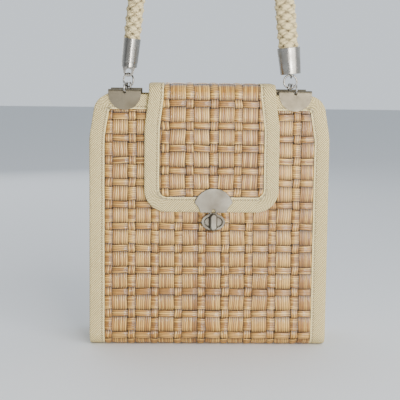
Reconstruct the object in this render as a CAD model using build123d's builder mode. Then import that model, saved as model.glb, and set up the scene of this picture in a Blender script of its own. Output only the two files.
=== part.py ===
from build123d import *
from math import asin, atan, atan2, cos, hypot, radians, sin, sqrt
import os

os.makedirs("parts", exist_ok=True)

# A rigid box bag of woven raffia, bound with folded twill tape, with a turn lock on
# its flap and a thick rope handle held by links at four folded metal plates.
# The origin is the centre of the base, the front faces -Y and +Z is up.

# ---- the box ----
body_height = 214.0
body_width_top = 203.5
body_width_bottom = 202.0
depth_top = 42.0
depth_bottom = 66.0
bottom_edge_radius = 10.0
shoulder_drop = 36.0  # how far below the top edge the sides start to draw in
shoulder_run = 6.0  # how much they draw in
shoulder_radius = 15.0
shoulder_start_radius = 60.0
sheet_thickness = 2.6
tape_width = 12.7
tape_thickness = 0.8
lining_thickness = 0.8
lining_below_top = 15.0
gusset_recess = 1.0  # the gusset's outer face lies inside the panels' side edges
gusset_below_top = 10.0
gusset_corner_radius = 5.0

# ---- the flap ----
flap_x = 1.8
flap_width_top = 107.0
flap_width_bottom = 114.0
flap_widest_below_top = 28.0
flap_bottom_z = 115.0
flap_corner_radius = 19.0
flap_gap = 0.4
flap_sheet_thickness = 2.6
flap_rise = 5.4  # the crown's inner face above the top edge
flap_back_slope = 8.0  # how far forward the flap has risen to its crown
flap_bend_radius = 7.0
hinge_above_top = 0.6
hinge_tape_height = 12.7
hinge_tape_gap = 0.4

# ---- the turn lock ----
lock_x = 3.6
lock_below_flap = 8.2
hasp_width = 32.8
hasp_rise = 20.6  # the dome's top above the flap's edge
hasp_shoulder = 8.0  # the widest place above the flap's edge
hasp_foot_width = 22.2
hasp_waist = 1.0  # how far the sides draw in between the widest place and the foot
hasp_foot_drop = 0.2
hasp_thickness = 1.2
hasp_notch = 2.8
hasp_bevel = 0.4
loop_width = 20.2
loop_height = 14.4
loop_rim = 2.2
loop_thickness = 2.0
loop_standoff = 2.2
neck_width = 6.0
neck_height = 2.6
neck_clearance = 0.3
prong_width = 2.4
prong_thickness = 0.6
prong_spacing = 12.0
prong_height = 16.2
backing_length = 18.0
backing_height = 5.4
backing_radius = 2.4
lock_flange_thickness = 1.0
lock_clearance = 0.6
boss_height = 3.4
stem_radius = 2.3
stem_clearance = 0.06
stem_end = 1.6
knob_length = 14.6
knob_width = 6.5
knob_thickness = 3.8
knob_gap = 0.5
knob_edge = 1.7
washer_length = 22.0
washer_height = 12.0
washer_thickness = 0.6

# ---- the corner plates and the links ----
plate_x = 72.0
plate_radius = 13.8
plate_thickness = 0.9
plate_stand = 4.0  # the fold's top above the panel's top edge
plate_drop = 13.4  # the plate's lowest point below that edge
hole_radius = 1.4
hole_above_top = 1.55
wire_radius = 0.75
link_pitch = 7.2  # between the centre lines of a link's two long sides
link_front_run = 1.2
link_slack = 3.0  # from the ring's wire to the link's far end, centre to centre
link_spread = 1.25  # each side of the ring's middle

# ---- the handle ----
rope_diameter = 16.8
rope_bend_share = 0.45  # of the shorter run, taken by each bend
rope_route = [(66.3, 49.5), (60.6, 103.2), (53.1, 156.7), (37.5, 178.7), (13.5, 191.1)]
cap_long_top = 19.9
cap_short_top = 15.0
cap_long_foot = 17.5
cap_short_foot = 14.1
cap_wall = 0.9
cap_downs = {-1: 3.4, 1: 9.5}  # from the route's first point to the cap's top, left and right
cap_lengths = {-1: 20.5, 1: 22.6}
rope_depths = {-1: 19.0, 1: 17.0}  # how far the rope goes into the cap
collar_starts = {-1: 20.5, 1: 17.0}  # under the left cap, but inside the right one
collar_heights = {-1: 3.6, 1: 1.0}
collar_step = 0.5
collar_clearance = 0.1
eye_drop = 4.0  # from the collar's foot to the eye's hole
eye_root_width = 11.5
eye_radius = 4.4
eye_thickness = 1.2
eye_hole_radius = 2.5
ring_radius = 5.6  # of the wire's centre line
ring_play = 0.25
left_ring_turn = 45.0

# ---- worked out ----
far = 300.0
overrun = 20.0
lean_slope = (depth_bottom - depth_top) / 2 / body_height
lean = atan(lean_slope)
flap_thickness = flap_sheet_thickness + lining_thickness
UP = Vector(0, 0, 1)


def half_width(z):
    """Half the body's width at a height, along its straight tapered side."""
    taper = (body_width_top - body_width_bottom) / 2 / body_height
    return body_width_bottom / 2 + taper * z


def drawn_in(z):
    """Half the box's width at a height, drawn in along the shoulder as the gussets are."""
    start = body_height - shoulder_drop
    return half_width(z) - shoulder_run * max(0.0, z - start) / shoulder_drop


def half_depth(z, inset=0.0):
    """Half the body's depth at a height, on a face that lies inset from the outside."""
    return depth_bottom / 2 - lean_slope * z - inset / cos(lean)


def front_plane(x, z):
    """A plane on the front panel's outer face: local X is the row's X, local Y runs up the panel."""
    return Plane(
        origin=(x, -half_depth(z), z),
        x_dir=(1, 0, 0),
        z_dir=(0, -cos(lean), sin(lean)),
    )


def side_profile(wall, top=body_height + overrun, top_radius=0.0, inset=0.0):
    """The box's side section inside a wall of this thickness, up to a height above the base."""
    with BuildSketch(Plane.YZ) as profile:
        with BuildLine():
            Polyline(
                (-half_depth(wall, wall), wall),
                (half_depth(wall, wall), wall),
                (half_depth(top, wall), top),
                (-half_depth(top, wall), top),
                close=True,
            )
        make_face()
        fillet(profile.vertices().group_by(Axis.Y)[0], bottom_edge_radius - wall)
        if top_radius:
            fillet(profile.vertices().group_by(Axis.Y)[-1], top_radius)
        if inset:
            offset(amount=-inset)
    return profile.sketch


def front_outline(inset=0.0):
    """The panels' outline from the front, running on below the base."""
    start = body_height - shoulder_drop
    corner = half_width(body_height) - shoulder_run
    with BuildSketch(Plane.XZ) as outline:
        with BuildLine():
            Polyline(
                (-half_width(-overrun), -overrun),
                (half_width(-overrun), -overrun),
                (half_width(start), start),
                (corner, body_height),
                (-corner, body_height),
                (-half_width(start), start),
                close=True,
            )
        make_face()
        rows = outline.vertices().group_by(Axis.Y)
        fillet(rows[-1], shoulder_radius)
        fillet(outline.vertices().filter_by_position(Axis.Y, start - 1, start + 1), shoulder_start_radius)
        if inset:
            offset(amount=-inset)
    return outline.sketch


def side_band(outer, inner, top):
    """The strip of the front view between two distances from the right side, up to a height."""
    heights = (-overrun, body_height - shoulder_drop, top)
    outside = [(drawn_in(z) - outer, z) for z in heights]
    inside = [(drawn_in(z) - inner, z) for z in reversed(heights)]
    with BuildSketch(Plane.XZ) as band:
        with BuildLine():
            Polyline(*outside, *inside, close=True)
        make_face()
    return band.sketch


def gusset_profile(inset=0.0):
    """The gusset from the side: it fills the box between the panels, with rounded top corners."""
    return side_profile(sheet_thickness, body_height - gusset_below_top, gusset_corner_radius, inset)


def mirrored(part, about):
    """A piece's twin on the other side of a plane."""
    with BuildPart() as twin:
        add(part)
        mirror(about=about, mode=Mode.REPLACE)
    return twin.part


def finish(part, name):
    part.label = name
    export_step(part, f"parts/{name}.step")


# ---- the lock's two prongs pass through the front panel to a washer behind it ----
lock_z = flap_bottom_z - lock_below_flap * cos(lean)
lock_plane = front_plane(lock_x, lock_z)
with BuildPart() as lock_prongs:
    with BuildSketch(lock_plane):
        with GridLocations(prong_spacing, 1, 2, 1):
            Rectangle(prong_width, prong_thickness)
    extrude(amount=-sheet_thickness - washer_thickness)

# ---- the woven main sheet: front, bottom and back in one piece ----
# Its thinned edge runs on inside the folded tape.
with BuildPart() as sheet_edge:
    extrude(side_profile(tape_thickness), amount=far, both=True)
    extrude(side_profile(sheet_thickness - tape_thickness), amount=far, both=True, mode=Mode.SUBTRACT)
    extrude(front_outline(tape_thickness), amount=far, both=True, mode=Mode.INTERSECT)

with BuildPart() as woven_body:
    extrude(side_profile(0), amount=far, both=True)
    extrude(side_profile(sheet_thickness), amount=far, both=True, mode=Mode.SUBTRACT)
    extrude(front_outline(tape_width), amount=far, both=True, mode=Mode.INTERSECT)
    add(sheet_edge.part)
    add(lock_prongs.part, mode=Mode.SUBTRACT)
finish(woven_body.part, "woven_body")

# The tape is folded over the sheet's whole edge, sides and tops, in one length.
with BuildPart() as body_binding:
    extrude(side_profile(0), amount=far, both=True)
    extrude(side_profile(sheet_thickness), amount=far, both=True, mode=Mode.SUBTRACT)
    extrude(front_outline(), amount=far, both=True, mode=Mode.INTERSECT)
    extrude(front_outline(tape_width), amount=far, both=True, mode=Mode.SUBTRACT)
    add(sheet_edge.part, mode=Mode.SUBTRACT)
finish(body_binding.part, "body_binding")

# ---- the two gussets, each with its own tape ----
gusset_inner = gusset_recess + sheet_thickness
with BuildPart() as gusset_edge:
    extrude(gusset_profile(tape_thickness), amount=far)
    extrude(
        side_band(gusset_recess + tape_thickness, gusset_inner - tape_thickness, body_height),
        amount=far,
        both=True,
        mode=Mode.INTERSECT,
    )

with BuildPart() as gusset_right:
    extrude(gusset_profile(tape_width), amount=far)
    extrude(side_band(gusset_recess, gusset_inner, body_height), amount=far, both=True, mode=Mode.INTERSECT)
    add(gusset_edge.part)
finish(gusset_right.part, "gusset_right")
finish(mirrored(gusset_right.part, Plane.YZ), "gusset_left")

with BuildPart() as gusset_binding_right:
    extrude(gusset_profile(), amount=far)
    extrude(side_band(gusset_recess, gusset_inner, body_height), amount=far, both=True, mode=Mode.INTERSECT)
    extrude(gusset_profile(tape_width), amount=far, mode=Mode.SUBTRACT)
    add(gusset_edge.part, mode=Mode.SUBTRACT)
finish(gusset_binding_right.part, "gusset_binding_right")
finish(mirrored(gusset_binding_right.part, Plane.YZ), "gusset_binding_left")

# ---- the lock's washer, behind the front panel ----
with BuildPart() as lock_backing:
    with BuildSketch(lock_plane.offset(-sheet_thickness)):
        Ellipse(washer_length / 2, washer_height / 2)
    extrude(amount=-washer_thickness)
    add(lock_prongs.part, mode=Mode.SUBTRACT)
finish(lock_backing.part, "lock_backing")

# ---- the lining: an open cloth box inside the woven one ----
with BuildPart() as lining:
    extrude(side_profile(sheet_thickness), amount=far, both=True)
    with BuildSketch(Plane.XZ) as lining_front:
        heights = (0, body_height - shoulder_drop, body_height - lining_below_top)
        right = [(drawn_in(z) - gusset_inner, z) for z in heights]
        left = [(-x, z) for x, z in reversed(right)]
        with BuildLine():
            Polyline(*right, *left, close=True)
        make_face()
    extrude(amount=far, both=True, mode=Mode.INTERSECT)
    with BuildSketch(Plane.XZ) as lining_hollow:
        inner = gusset_inner + lining_thickness
        heights = (0, body_height - shoulder_drop, body_height)
        right = [(drawn_in(z) - inner, z) for z in heights]
        left = [(-x, z) for x, z in reversed(right)]
        with BuildLine():
            Polyline(*right, *left, close=True)
        make_face()
with BuildPart() as lining_space:
    extrude(side_profile(sheet_thickness + lining_thickness), amount=far, both=True)
    extrude(lining_hollow.sketch, amount=far, both=True, mode=Mode.INTERSECT)
with BuildPart() as lining_box:
    add(lining.part)
    add(lining_space.part, mode=Mode.SUBTRACT)
    with BuildSketch(lock_plane.offset(-sheet_thickness)):
        Ellipse(washer_length / 2, washer_height / 2)
    extrude(amount=-washer_thickness, mode=Mode.SUBTRACT)
finish(lining_box.part, "lining")

# ---- the flap, shaped in side view from its hinge over the mouth and down the front ----
hinge_y = half_depth(body_height) + tape_thickness
hinge_z = body_height + hinge_above_top
crown_z = body_height + flap_rise
flap_route = [
    (hinge_y, hinge_z),
    (hinge_y - flap_back_slope, crown_z),
    (-half_depth(crown_z, -flap_gap), crown_z),
    (-half_depth(flap_bottom_z, -flap_gap), flap_bottom_z),
]


def flap_layer(inner, outer):
    """The side section of one layer of the flap, between two distances from its inner face."""
    with BuildSketch(Plane.YZ) as section:
        with BuildLine():
            FilletPolyline(*flap_route, radius=flap_bend_radius)
            offset(amount=outer, side=Side.RIGHT)
        make_face()
        if inner:
            with BuildLine():
                FilletPolyline(*flap_route, radius=flap_bend_radius)
                offset(amount=inner, side=Side.RIGHT)
            make_face(mode=Mode.SUBTRACT)
    return section.sketch


def flap_outline(inset=0.0):
    """The flap from the front, running on above its crown."""
    top = body_height + overrun * 3
    widest = body_height - flap_widest_below_top
    with BuildSketch(Plane.XZ) as outline:
        with BuildLine():
            Polyline(
                (flap_x - flap_width_bottom / 2, flap_bottom_z),
                (flap_x + flap_width_bottom / 2, flap_bottom_z),
                (flap_x + flap_width_bottom / 2, widest),
                (flap_x + flap_width_top / 2, body_height),
                (flap_x + flap_width_top / 2, top),
                (flap_x - flap_width_top / 2, top),
                (flap_x - flap_width_top / 2, body_height),
                (flap_x - flap_width_bottom / 2, widest),
                close=True,
            )
        make_face()
        fillet(outline.vertices().group_by(Axis.Y)[0], flap_corner_radius)
        if inset:
            offset(amount=-inset)
    return outline.sketch


with BuildPart() as flap_edge:
    extrude(flap_layer(tape_thickness, flap_thickness - tape_thickness), amount=far, both=True)
    extrude(flap_outline(tape_thickness), amount=far, both=True, mode=Mode.INTERSECT)

hasp_plane = front_plane(lock_x, flap_bottom_z).offset(flap_gap + flap_thickness)
with BuildPart() as prongs:
    with BuildSketch(hasp_plane):
        with Locations((0, prong_height)):
            with GridLocations(prong_spacing, 1, 2, 1):
                Rectangle(prong_width, prong_thickness)
    extrude(amount=-flap_thickness)

with BuildPart() as hasp_backing:
    with BuildSketch(hasp_plane.offset(-flap_thickness)):
        with Locations((0, prong_height)):
            RectangleRounded(backing_length, backing_height, backing_radius)
    extrude(amount=lining_thickness)
    add(prongs.part, mode=Mode.SUBTRACT)
finish(hasp_backing.part, "hasp_backing")

with BuildPart() as flap_panel:
    extrude(flap_layer(lining_thickness, flap_thickness), amount=far, both=True)
    extrude(flap_outline(tape_width), amount=far, both=True, mode=Mode.INTERSECT)
    add(flap_edge.part)
    add(prongs.part, mode=Mode.SUBTRACT)
finish(flap_panel.part, "flap_panel")

with BuildPart() as flap_lining:
    extrude(flap_layer(0, lining_thickness), amount=far, both=True)
    extrude(flap_outline(tape_width), amount=far, both=True, mode=Mode.INTERSECT)
    add(hasp_backing.part, mode=Mode.SUBTRACT)
    add(prongs.part, mode=Mode.SUBTRACT)
finish(flap_lining.part, "flap_lining")

with BuildPart() as flap_binding:
    extrude(flap_layer(0, flap_thickness), amount=far, both=True)
    extrude(flap_outline(), amount=far, both=True, mode=Mode.INTERSECT)
    extrude(flap_outline(tape_width), amount=far, both=True, mode=Mode.SUBTRACT)
    add(flap_edge.part, mode=Mode.SUBTRACT)
finish(flap_binding.part, "flap_binding")

# The cloth hinge is a length of the same tape, sewn to the back panel along its top.
back_plane = Plane(
    origin=(flap_x, half_depth(body_height), body_height),
    x_dir=(1, 0, 0),
    z_dir=(0, cos(lean), sin(lean)),
)
with BuildPart() as hinge_tape:
    with BuildSketch(back_plane):
        with Locations((0, hinge_tape_gap)):
            Rectangle(flap_width_top, hinge_tape_height, align=(Align.CENTER, Align.MIN))
    extrude(amount=tape_thickness - hinge_tape_gap * sin(lean))
finish(hinge_tape.part, "hinge_tape")

# ---- the hasp: a domed plate on the flap's edge, with the oval loop under it ----
with BuildPart() as hasp_plate:
    with BuildSketch(hasp_plane) as hasp_face:
        with BuildLine():
            half, foot = hasp_width / 2, hasp_foot_width / 2
            dome = ThreePointArc((-half, hasp_shoulder), (0, hasp_rise), (half, hasp_shoulder))
            waist = (foot + half) / 2 - hasp_waist
            ThreePointArc((half, hasp_shoulder), (waist, hasp_shoulder / 2), (foot, -hasp_foot_drop))
            Line((foot, -hasp_foot_drop), (-foot, -hasp_foot_drop))
            ThreePointArc((-foot, -hasp_foot_drop), (-waist, hasp_shoulder / 2), (-half, hasp_shoulder))
        make_face()
        with Locations((0, -hasp_foot_drop)):
            SlotOverall(2 * hasp_notch, hasp_notch, rotation=90, mode=Mode.SUBTRACT)
    extrude(amount=hasp_thickness)
    hasp_front = hasp_plate.faces().sort_by(Axis(lock_plane.origin, lock_plane.z_dir))[-1]
    chamfer(hasp_front.edges().sort_by(SortBy.LENGTH)[-1], hasp_bevel)
    loop_base = lock_plane.offset(loop_standoff)
    with BuildSketch(loop_base):
        Ellipse(loop_width / 2, loop_height / 2)
        with Locations((0, lock_below_flap - neck_clearance)):
            Rectangle(neck_width, neck_height, align=(Align.CENTER, Align.MAX))
        Ellipse(loop_width / 2 - loop_rim, loop_height / 2 - loop_rim, mode=Mode.SUBTRACT)
    extrude(amount=loop_thickness)
    add(prongs.part)
finish(hasp_plate.part, "hasp_plate")

# ---- the lock on the front panel, inside the loop, and its turning knob ----
boss_long = loop_width / 2 - loop_rim - lock_clearance
boss_short = loop_height / 2 - loop_rim - lock_clearance
with BuildPart() as lock_base:
    with BuildSketch(lock_plane):
        Ellipse(loop_width / 2 - lock_clearance, loop_height / 2 - lock_clearance)
    extrude(amount=lock_flange_thickness)
    with BuildSketch(lock_plane):
        Ellipse(boss_long, boss_short)
    extrude(amount=boss_height)
    with BuildSketch(lock_plane.offset(boss_height)):
        Circle(stem_radius + stem_clearance)
    extrude(amount=stem_end - boss_height, mode=Mode.SUBTRACT)
    add(lock_prongs.part)
finish(lock_base.part, "lock_base")

knob_foot = loop_standoff + loop_thickness + knob_gap
with BuildPart() as turn_knob:
    with BuildSketch(lock_plane.offset(knob_foot)):
        SlotOverall(knob_length, knob_width, rotation=90)
    extrude(amount=knob_thickness)
    lock_axis = Axis(lock_plane.origin, lock_plane.z_dir)
    fillet(turn_knob.faces().sort_by(lock_axis)[-1].edges(), knob_edge)
    with BuildSketch(lock_plane.offset(stem_end + stem_clearance)):
        Circle(stem_radius)
    extrude(amount=knob_foot - stem_end)
finish(turn_knob.part, "turn_knob")

# ---- the folded corner plates: half-round leaves either side of the panel, joined over its edge ----
half_sheet = sheet_thickness / 2
fold_centre = plate_stand - half_sheet - plate_thickness
plate_plane = front_plane(plate_x, body_height).offset(-half_sheet)


fold_plane = Plane(
    origin=plate_plane.from_local_coords((-plate_radius, fold_centre, 0)),
    x_dir=plate_plane.z_dir,
    z_dir=plate_plane.x_dir,
)
with BuildPart() as corner_plate:
    with BuildSketch(fold_plane):
        leaf_length = plate_drop + fold_centre
        Circle(half_sheet + plate_thickness)
        Rectangle(2 * (half_sheet + plate_thickness), leaf_length, align=(Align.CENTER, Align.MIN))
        Circle(half_sheet, mode=Mode.SUBTRACT)
        Rectangle(2 * half_sheet, leaf_length, align=(Align.CENTER, Align.MIN), mode=Mode.SUBTRACT)
    extrude(amount=2 * plate_radius)
    with BuildSketch(plate_plane):
        low = plate_radius - plate_drop
        with BuildLine():
            ThreePointArc((-plate_radius, low), (0, low - plate_radius), (plate_radius, low))
            Polyline(
                (plate_radius, low),
                (plate_radius, plate_stand),
                (-plate_radius, plate_stand),
                (-plate_radius, low),
            )
        make_face()
    extrude(amount=plate_stand, both=True, mode=Mode.INTERSECT)
    with BuildSketch(plate_plane):
        with Locations((0, hole_above_top)):
            Circle(hole_radius)
    extrude(amount=plate_stand, both=True, mode=Mode.SUBTRACT)
finish(corner_plate.part, "corner_plate_front_right")
finish(mirrored(corner_plate.part, Plane.YZ), "corner_plate_front_left")
corner_plate_back = mirrored(corner_plate.part, Plane.XZ)
finish(corner_plate_back, "corner_plate_back_right")
finish(mirrored(corner_plate_back, Plane.YZ), "corner_plate_back_left")

# ---- the handle's ends: rope, oval cap, collar with its eye, and the ring in the eye ----
route = [Vector(x, 0, body_height + rise) for x, rise in rope_route]
pull = (route[1] - route[0]).normalized()
eye_centre = route[0] - pull * (cap_downs[1] + collar_starts[1] + collar_heights[1] + eye_drop)
ring_top = eye_centre - UP * (eye_hole_radius - wire_radius - ring_play)
ring_centre = ring_top - UP * ring_radius
pivot = ring_centre - UP * ring_radius


def end_plane(side, drop):
    """A plane across the rope's end, this far down its first straight stretch."""
    along = Vector(pull.X * side, 0, pull.Z)
    start = Vector(route[0].X * side, 0, route[0].Z)
    return Plane(origin=start - along * drop, x_dir=(along.Z, 0, -along.X), z_dir=along)


def oval(plane, long_size, short_size, side):
    """The flattened rope's section. It is turned a quarter between the two ends."""
    sizes = (long_size, short_size) if side > 0 else (short_size, long_size)
    with BuildSketch(plane) as section:
        Ellipse(sizes[0] / 2, sizes[1] / 2)
    return section.sketch


def cap_sizes(side, drop, inset=0.0):
    """A cap's long and short widths at a distance below its top, on a face this far inside its outside."""
    share = drop / cap_lengths[side]
    long_size = cap_long_top + (cap_long_foot - cap_long_top) * share
    short_size = cap_short_top + (cap_short_foot - cap_short_top) * share
    return long_size - 2 * inset, short_size - 2 * inset


rope_stubs = {}
for side, name in ((-1, "left"), (1, "right")):
    down, length, depth = cap_downs[side], cap_lengths[side], rope_depths[side]
    rope_hole = oval(end_plane(side, down), *cap_sizes(side, 0, cap_wall), side)
    rope_end = oval(end_plane(side, down + depth), *cap_sizes(side, depth, cap_wall), side)
    with BuildPart() as rope_stub:
        loft([rope_hole, rope_end])
    rope_stubs[side] = rope_stub.part

    with BuildPart() as ferrule:
        loft([
            oval(end_plane(side, down), *cap_sizes(side, 0), side),
            oval(end_plane(side, down + length), *cap_sizes(side, length), side),
        ])
        add(rope_stub.part, mode=Mode.SUBTRACT)
        if collar_starts[side] < length:
            mouth = oval(end_plane(side, down + length), *cap_sizes(side, length, cap_wall), side)
            loft([rope_end, mouth], mode=Mode.SUBTRACT)
    finish(ferrule.part, f"ferrule_{name}")

    collar_end = collar_starts[side] + collar_heights[side]
    if collar_starts[side] < length:
        collar_sizes = cap_sizes(side, collar_end, cap_wall + collar_clearance)
    else:
        collar_sizes = cap_sizes(side, length, collar_step / 2)
    collar_foot = end_plane(side, down + collar_end)
    eye_across = end_plane(side, down + collar_end + eye_drop)
    eye_face = Plane(
        origin=eye_across.origin,
        x_dir=eye_across.y_dir if side > 0 else eye_across.x_dir,
        z_dir=eye_across.x_dir if side > 0 else -eye_across.y_dir,
    )
    with BuildPart() as eye:
        extrude(oval(collar_foot, *collar_sizes, side), amount=collar_heights[side])
        with BuildSketch(eye_face):
            with BuildLine():
                Polyline(
                    (-eye_root_width / 2, eye_drop),
                    (eye_root_width / 2, eye_drop),
                    (eye_radius, 0),
                    (-eye_radius, 0),
                    close=True,
                )
            make_face()
            Circle(eye_radius)
            Circle(eye_hole_radius, mode=Mode.SUBTRACT)
        extrude(amount=eye_thickness / 2, both=True)
    finish(eye.part, f"eye_{name}")

    turn = 0 if side > 0 else radians(left_ring_turn)
    centre = Vector(ring_centre.X * side, 0, ring_centre.Z)
    ring_plane = Plane(origin=centre, x_dir=(cos(turn), sin(turn), 0), z_dir=(sin(turn), -cos(turn), 0))
    with BuildPart() as ring:
        with BuildLine(ring_plane) as ring_line:
            CenterArc((0, 0), ring_radius, 0, 360)
        with BuildSketch(Plane(origin=ring_line.line @ 0, z_dir=ring_line.line % 0)):
            Circle(wire_radius)
        sweep(path=ring_line.line)
    finish(ring.part, f"ring_{name}")

    # Two links hold each ring, the outer one to the front plate, the inner one to the back plate.
    for face, face_name in ((-1, "front"), (1, "back")):
        hole = plate_plane.from_local_coords((0, hole_above_top, 0))
        start = Vector(plate_x * side, hole.Y * -face, hole.Z)
        offset_x = -face * link_spread
        held = Vector((pivot.X + offset_x) * side, 0, pivot.Z)
        held += Vector(0, -face * -abs(offset_x) * sin(turn) / cos(turn), 0)
        reach = Vector(held.X - start.X, held.Y - start.Y, 0)
        rise = held.Z - start.Z
        distance = hypot(reach.length, rise)
        tilt = atan2(rise, reach.length) - asin(link_pitch / 2 / distance)
        run = sqrt(distance**2 - (link_pitch / 2) ** 2) + link_slack - link_pitch / 2
        level = reach.normalized()
        along = level * cos(tilt) + UP * sin(tilt)
        link_plane = Plane(origin=start, x_dir=along, z_dir=along.cross(UP))
        with BuildPart() as link:
            with BuildLine(link_plane) as link_line:
                Line((-link_front_run, 0), (run, 0))
                ThreePointArc((run, 0), (run + link_pitch / 2, link_pitch / 2), (run, link_pitch))
                Line((run, link_pitch), (-link_front_run, link_pitch))
                ThreePointArc(
                    (-link_front_run, link_pitch),
                    (-link_front_run - link_pitch / 2, link_pitch / 2),
                    (-link_front_run, 0),
                )
            with BuildSketch(Plane(origin=link_line.line @ 0, z_dir=link_line.line % 0)):
                Circle(wire_radius)
            sweep(path=link_line.line)
        finish(link.part, f"link_{face_name}_{name}")

# ---- the rope: straight runs joined by tangent arcs, as large as the runs allow ----
left_half = [end_plane(-1, cap_downs[-1]).origin] + [Vector(-p.X, 0, p.Z) for p in route[1:]]
right_half = route[:0:-1] + [end_plane(1, cap_downs[1]).origin]
rope_points = left_half + right_half
runs = [(b - a) for a, b in zip(rope_points, rope_points[1:])]
rope_radii = []
for before, after in zip(runs, runs[1:]):
    half_turn = radians(before.get_angle(after)) / 2
    shorter = min(before.length, after.length)
    rope_radii.append(rope_bend_share * shorter * cos(half_turn) / sin(half_turn))
with BuildPart() as rope:
    with BuildLine() as rope_line:
        FilletPolyline(*rope_points, radius=rope_radii)
    with BuildSketch(Plane(origin=rope_line.line @ 0, z_dir=rope_line.line % 0)):
        Circle(rope_diameter / 2)
    sweep(path=rope_line.line)
with BuildPart() as handle_rope:
    add(rope.part)
    add(rope_stubs[-1])
    add(rope_stubs[1])
finish(handle_rope.part, "handle_rope")
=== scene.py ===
import bpy
import bmesh
from math import atan, cos, hypot, pi, radians, sin, sqrt
from random import Random
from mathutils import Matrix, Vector


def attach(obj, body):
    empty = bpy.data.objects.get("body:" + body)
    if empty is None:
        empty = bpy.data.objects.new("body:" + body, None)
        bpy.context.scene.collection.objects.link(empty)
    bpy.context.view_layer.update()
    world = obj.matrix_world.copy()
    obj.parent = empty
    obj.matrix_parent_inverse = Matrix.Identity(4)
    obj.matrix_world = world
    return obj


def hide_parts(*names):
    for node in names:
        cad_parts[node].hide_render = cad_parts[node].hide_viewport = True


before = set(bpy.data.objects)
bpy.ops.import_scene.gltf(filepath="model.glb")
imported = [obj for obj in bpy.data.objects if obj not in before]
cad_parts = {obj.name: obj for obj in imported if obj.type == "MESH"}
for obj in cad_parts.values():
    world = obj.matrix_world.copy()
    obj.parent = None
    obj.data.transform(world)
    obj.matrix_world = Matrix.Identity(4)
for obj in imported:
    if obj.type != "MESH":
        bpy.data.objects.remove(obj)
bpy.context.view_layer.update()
scene = bpy.context.scene

# The camera stands a little above the bag and looks almost straight at its front.
camera_target = Vector((-0.007, 0, 0.1215))
camera_distance = 0.9
camera_azimuth, camera_elevation, camera_roll = radians(-1.6), radians(8.0), radians(0.7)
camera_back = Vector((
    sin(camera_azimuth) * cos(camera_elevation),
    -cos(camera_azimuth) * cos(camera_elevation),
    sin(camera_elevation),
))
bpy.ops.object.camera_add(location=camera_target + camera_back * camera_distance)
camera = bpy.context.active_object
camera.data.sensor_width = 36
camera.data.lens = 1030 / 400 * 36
camera.rotation_mode = "QUATERNION"
camera.rotation_quaternion = (-camera_back).to_track_quat("-Z", "Y")
bpy.ops.object.select_all(action="DESELECT")
camera.rotation_mode = "XYZ"
camera.rotation_euler.rotate_axis("Z", camera_roll)
scene.camera = camera

# Soft light: one tall window on the right with a bright patch of sun in it, a broad fill on
# the left, and a pale room.
for light_name, place, size, watts, tint in (
    ("window", (0.60, -1.0, 0.60), (1.0, 1.1), 19, (1.0, 0.98, 0.95)),
    ("sun_patch", (0.26, -1.2, 0.22), (0.2, 0.42), 6, (1.0, 0.985, 0.96)),
    ("fill", (-0.9, -1.0, 0.6), (1.2, 1.2), 1.2, (0.95, 0.97, 1.0)),
    ("overhead", (0.0, 0.1, 1.3), (1.2, 1.2), 2, (1.0, 1.0, 1.0)),
    ("behind", (-0.4, 1.0, 0.6), (1.0, 1.0), 3, (1.0, 1.0, 1.0)),
):
    bpy.ops.object.light_add(type="AREA", location=place)
    light = bpy.context.active_object
    light.name = light_name
    light.data.shape = "RECTANGLE"
    light.data.size, light.data.size_y = size
    light.data.energy = watts
    light.data.color = tint
    light.rotation_mode = "QUATERNION"
    light.rotation_quaternion = (Vector((0, 0, 0.12)) - Vector(place)).to_track_quat("-Z", "Y")
scene.world = bpy.data.worlds.new("pale_room")
scene.world.use_nodes = True
room = scene.world.node_tree
room_way = room.nodes.new("ShaderNodeTexCoord")
room_split = room.nodes.new("ShaderNodeSeparateXYZ")
room_side = room.nodes.new("ShaderNodeMath")
room_side.operation = "MULTIPLY_ADD"
room_side.inputs[1].default_value = 0.35
room_shade = room.nodes.new("ShaderNodeMapRange")
room_shade.inputs["From Min"].default_value, room_shade.inputs["From Max"].default_value = -0.75, 0.45
room_colour = room.nodes.new("ShaderNodeMix")
room_colour.data_type = "RGBA"
room_colour.inputs[6].default_value = (0.08, 0.08, 0.085, 1)
room_colour.inputs[7].default_value = (0.86, 0.93, 1.0, 1)
room.links.new(room_way.outputs["Generated"], room_split.inputs[0])
room.links.new(room_split.outputs["X"], room_side.inputs[0])
room.links.new(room_split.outputs["Y"], room_side.inputs[2])
room.links.new(room_side.outputs[0], room_shade.inputs["Value"])
room.links.new(room_shade.outputs["Result"], room_colour.inputs[0])
room.links.new(room_colour.outputs[2], room.nodes["Background"].inputs["Color"])
room.nodes["Background"].inputs["Strength"].default_value = 1.0

# The floor is a plain pale sheet of studio paper, wide enough to fill the view.
bpy.ops.object.select_all(action="DESELECT")
bpy.ops.mesh.primitive_plane_add(size=1, location=(0, 0, -0.0004))
floor = bpy.context.active_object
floor.name = "floor"
floor.scale = (8, 8, 1)
bpy.ops.object.transform_apply(location=True, rotation=True, scale=True)
floor_paper = bpy.data.materials.new("floor_paper")
floor_paper.use_nodes = True
floor_shader = floor_paper.node_tree.nodes["Principled BSDF"]
floor_shader.inputs["Base Color"].default_value = (0.80, 0.83, 0.86, 1)
floor_shader.inputs["Roughness"].default_value = 0.7
floor.data.materials.append(floor_paper)

# ---- the rope handle ----
# A thick round braid of eight plaits of cream cotton, four turning each way, worked over a
# core. It is pressed a little flat where it goes into the two metal end caps.
rope_route = (
    (-0.0667, 0.2601), (-0.0606, 0.3172), (-0.0531, 0.3707), (-0.0375, 0.3927), (-0.0135, 0.4051),
    (0.0135, 0.4051), (0.0375, 0.3927), (0.0531, 0.3707), (0.0606, 0.3172), (0.0673, 0.2541),
)
rope_across, rope_half_flat = 0.0168, 0.09
plait_lead, plait_middle, plait_wave = 0.0326, 0.0048, 0.0013
plait_half_width, plait_half_thick, plait_yarns = 0.0034, 0.0023, 3


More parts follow.
